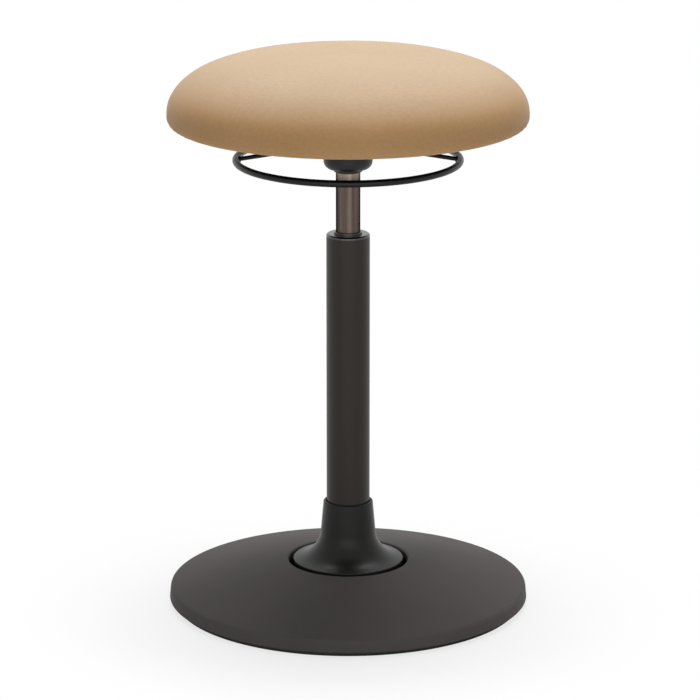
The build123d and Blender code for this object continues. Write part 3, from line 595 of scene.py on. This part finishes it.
# Release ring: a hoop of round steel wire on two bent arms, welded together and dipped in satin black.
# The arms end on a pressed disc inside the hub that pushes the valve pin.
black_wire = start_finish("black_wire", 0.34, gloss=0.25)
wire_place = object_place(black_wire)
wire_cloud = grain(black_wire, wire_place, 40)
wire_skin = grain(black_wire, wire_place, 900, detail=2.0)
use_colour(black_wire, tones(black_wire, wire_cloud, (0.3, (4, 4, 4)), (0.7, (9, 8, 8))))
use_roughness(black_wire, wire_cloud, 0.28, 0.42)
use_relief(black_wire, (wire_skin, 0.00003))
dress(black_wire, "release_hoop", "release_arms", "press_plate")

# Weld beads: a fillet of weld round the end of each arm where it meets the hoop.
# They are lumpy under the same black dip.
hoop_low, hoop_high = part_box("release_hoop")
wire_width = hoop_high.z - hoop_low.z
weld_place = (hoop_high.x - wire_width - 0.0004, 0, (hoop_high.z + hoop_low.z) / 2 + 0.0007)
weld_turn = radians(90 + 9)
bpy.ops.object.select_all(action="DESELECT")
bpy.ops.mesh.primitive_torus_add(
    major_segments=28,
    minor_segments=12,
    major_radius=0.0028,
    minor_radius=0.0011,
    location=weld_place,
    rotation=(0, weld_turn, 0),
)
welds = bpy.context.object
welds.name = "arm_welds"
bpy.ops.object.transform_apply(location=True, rotation=True, scale=True)
bpy.ops.object.mode_set(mode="EDIT")
bpy.ops.mesh.select_all(action="SELECT")
bpy.ops.transform.vertex_random(offset=0.00012, uniform=1.0, seed=7)
bpy.ops.mesh.spin(steps=1, dupli=True, angle=pi, center=(0, 0, 0), axis=(0, 0, 1))
bpy.ops.object.mode_set(mode="OBJECT")
bpy.ops.object.shade_smooth()
welds.data.materials.append(black_wire)
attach(welds, "release")


# Studio: a plain white floor that keeps a soft shadow round the base, and a white surround.
# The floor can't be seen from below, so that the underside of the stool shows.
def seen_rays(holder):
    """1 for rays that look at the background straight, in a reflection or through glass, otherwise 0."""
    tree = holder.node_tree
    ray = tree.nodes.new("ShaderNodeLightPath")
    seen = ray.outputs["Is Camera Ray"]
    for kind in ("Is Glossy Ray", "Is Transmission Ray"):
        either = tree.nodes.new("ShaderNodeMath")
        either.operation = "MAXIMUM"
        tree.links.new(seen, either.inputs[0])
        tree.links.new(ray.outputs[kind], either.inputs[1])
        seen = either.outputs["Value"]
    return seen


floor_gap = 0.0003
bpy.ops.object.select_all(action="DESELECT")
bpy.ops.mesh.primitive_plane_add(size=30, location=(0, 0, -floor_gap))
floor = bpy.context.object
floor.name = "studio_floor"
floor_white = bpy.data.materials.new("studio_white")
floor_white.use_nodes = True
floor_nodes = floor_white.node_tree.nodes
floor_links = floor_white.node_tree.links
floor_nodes.remove(floor_nodes["Principled BSDF"])
floor_matt = floor_nodes.new("ShaderNodeBsdfDiffuse")
floor_matt.inputs["Color"].default_value = (0.8, 0.8, 0.8, 1)
floor_glow = floor_nodes.new("ShaderNodeEmission")
floor_mix = floor_nodes.new("ShaderNodeMixShader")
floor_side = floor_nodes.new("ShaderNodeMixShader")
floor_clear = floor_nodes.new("ShaderNodeBsdfTransparent")
floor_face = floor_nodes.new("ShaderNodeNewGeometry")
floor_far = floor_nodes.new("ShaderNodeVectorMath")
floor_far.operation = "LENGTH"
floor_links.new(object_place(floor_white), floor_far.inputs[0])
floor_fade = floor_nodes.new("ShaderNodeMapRange")
floor_fade.interpolation_type = "SMOOTHSTEP"
floor_fade.inputs["From Min"].default_value = 0.2
floor_fade.inputs["From Max"].default_value = 0.42
floor_fade.inputs["To Min"].default_value = 0.75
floor_fade.inputs["To Max"].default_value = 1.0
floor_links.new(floor_far.outputs["Value"], floor_fade.inputs["Value"])
floor_share = floor_nodes.new("ShaderNodeMath")
floor_share.operation = "MULTIPLY"
floor_links.new(seen_rays(floor_white), floor_share.inputs[0])
floor_links.new(floor_fade.outputs["Result"], floor_share.inputs[1])
floor_links.new(floor_share.outputs["Value"], floor_mix.inputs["Fac"])
floor_links.new(floor_matt.outputs["BSDF"], floor_mix.inputs[1])
floor_links.new(floor_glow.outputs["Emission"], floor_mix.inputs[2])
floor_links.new(floor_face.outputs["Backfacing"], floor_side.inputs["Fac"])
floor_links.new(floor_mix.outputs["Shader"], floor_side.inputs[1])
floor_links.new(floor_clear.outputs["BSDF"], floor_side.inputs[2])
floor_links.new(floor_side.outputs["Shader"], floor_nodes["Material Output"].inputs["Surface"])
floor.data.materials.append(floor_white)

surround = bpy.data.worlds.new("studio_surround")
bpy.context.scene.world = surround
surround.use_nodes = True
sky_nodes = surround.node_tree.nodes
sky_links = surround.node_tree.links
sky_soft = sky_nodes["Background"]
sky_soft.inputs["Color"].default_value = (1, 1, 1, 1)
sky_soft.inputs["Strength"].default_value = 0.35
sky_white = sky_nodes.new("ShaderNodeBackground")
sky_white.inputs["Color"].default_value = (1, 1, 1, 1)
sky_mix = sky_nodes.new("ShaderNodeMixShader")
sky_links.new(seen_rays(surround), sky_mix.inputs["Fac"])
sky_links.new(sky_soft.outputs["Background"], sky_mix.inputs[1])
sky_links.new(sky_white.outputs["Background"], sky_mix.inputs[2])
sky_links.new(sky_mix.outputs["Shader"], sky_nodes["World Output"].inputs["Surface"])


def softbox(name, place, aim, size, power):
    """A square studio lamp at a place, turned to an aim."""
    bpy.ops.object.light_add(type="AREA", location=place)
    lamp = bpy.context.object
    lamp.name = name
    lamp.data.size = size
    lamp.data.energy = power
    away = np.array(place) - np.array(aim)
    lamp.rotation_euler = (
        np.arctan2(np.hypot(away[0], away[1]), away[2]),
        0,
        np.arctan2(away[0], -away[1]),
    )


softbox("top_lamp", (0.1, 0.6, 2.5), (0, 0, 0.5), size=1.6, power=62)
softbox("left_lamp", (-0.7, -2.4, 0.6), (0, 0, 0.4), size=1.8, power=10)
softbox("right_lamp", (0.7, -2.4, 0.6), (0, 0, 0.4), size=1.8, power=11)

# Camera: a long lens from well above the seat, square on to the front of the stool and tipped down to it.
camera_place = (0.00218, -4.1734, 1.42724)
camera_tip = radians(15.096)
bpy.ops.object.camera_add(location=camera_place, rotation=(pi / 2 - camera_tip, 0, 0))
camera = bpy.context.object
camera.data.sensor_width = 36
camera.data.lens = 192.8
camera.data.clip_end = 60
bpy.context.scene.camera = camera
bpy.context.scene.view_settings.view_transform = "Standard"
